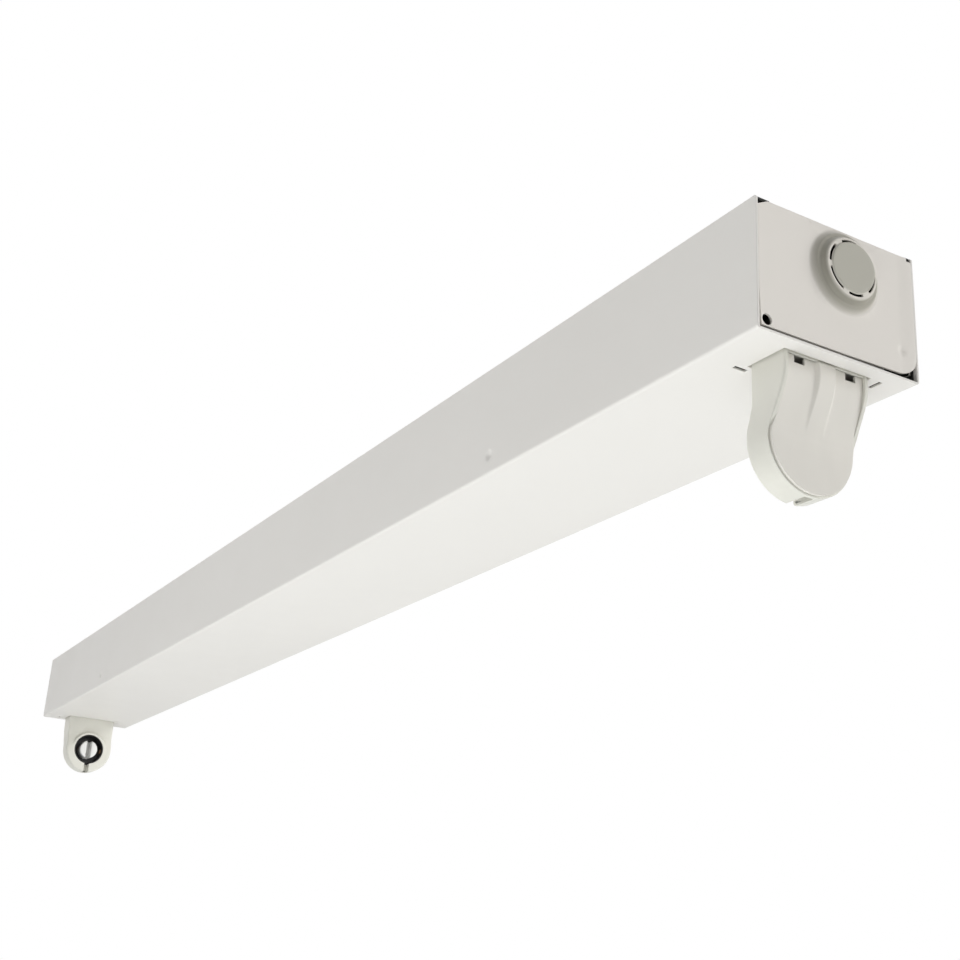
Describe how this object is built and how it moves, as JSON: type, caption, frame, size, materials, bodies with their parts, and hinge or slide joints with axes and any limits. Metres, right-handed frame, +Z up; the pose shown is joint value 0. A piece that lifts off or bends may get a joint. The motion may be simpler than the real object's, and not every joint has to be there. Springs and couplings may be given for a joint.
{
  "type": "fluorescent batten luminaire",
  "caption": "Long white sheet-steel box for a ceiling with a slotted rotary lampholder hanging under each end for a straight two-pin fluorescent tube, shown without the tube.",
  "frame": {"origin": "centre of the face that rests on the ceiling", "axes": "+X along the box towards the near end of the picture, +Z up into the ceiling, -Y towards the side of the box that the picture shows"},
  "size_m": [0.6314, 0.05, 0.065],
  "materials": {
    "sheet": "gloss white stove enamel",
    "grommet": "matt black rubber",
    "holder": "satin white moulding",
    "carrier": "black moulding",
    "rotor": "white moulding",
    "contact": "bright bronze strip",
    "ballast_case": "plain zinc-plated sheet",
    "board": "tan laminate",
    "ferrite": "dark grey ferrite",
    "winding": "enamelled copper wire",
    "capacitor": "plastic sleeve",
    "terminal": "natural nylon",
    "clamp": "bright brass",
    "fastener": "zinc-plated steel",
    "wire_white": "white insulation",
    "wire_red": "red insulation",
    "wire_blue": "blue insulation",
    "wire_brown": "brown insulation",
    "wire_earth": "green and yellow insulation"
  },
  "bodies": {
    "fixture": {"cover_channel": "sheet", "mounting_pan": "sheet", "cable_grommet": "grommet", "near_lampholder_body": "holder", "near_lampholder_cover": "holder", "near_contact_carrier": "carrier", "near_contact_left": "contact", "near_contact_right": "contact", "far_lampholder_body": "holder", "far_lampholder_cover": "holder", "far_contact_carrier": "carrier", "far_contact_left": "contact", "far_contact_right": "contact", "ballast_base": "ballast_case", "ballast_lid": "ballast_case", "ballast_board": "board", "ballast_choke_core": "ferrite", "ballast_choke_winding": "winding", "ballast_capacitors": "capacitor", "ballast_input_terminal": "terminal", "ballast_output_terminal": "terminal", "ballast_screws": "fastener", "terminal_housing": "terminal", "terminal_clamps": "clamp", "terminal_clamp_screws": "fastener", "terminal_fixing_screws": "fastener", "earth_stud": "fastener", "earth_lug": "fastener", "earth_washer": "fastener", "earth_nut": "fastener", "earth_wire": "wire_earth", "live_wire": "wire_brown", "neutral_wire": "wire_blue", "near_lamp_wire_a": "wire_white", "near_lamp_wire_b": "wire_red", "far_lamp_wire_a": "wire_white", "far_lamp_wire_b": "wire_blue", "wire_clips": "terminal"},
    "near_socket": {"near_rotor": "rotor"},
    "far_socket": {"far_rotor": "rotor"}
  },
  "joints": [
    {"name": "near_rotor_turn", "type": "hinge", "parent": "fixture", "child": "near_socket", "pos_m": [0.2955, 0, -0.052], "axis": [1, 0, 0], "range_deg": [-90, 90]},
    {"name": "far_rotor_turn", "type": "hinge", "parent": "fixture", "child": "far_socket", "pos_m": [-0.2955, 0, -0.052], "axis": [1, 0, 0], "range_deg": [-90, 90]}
  ]
}
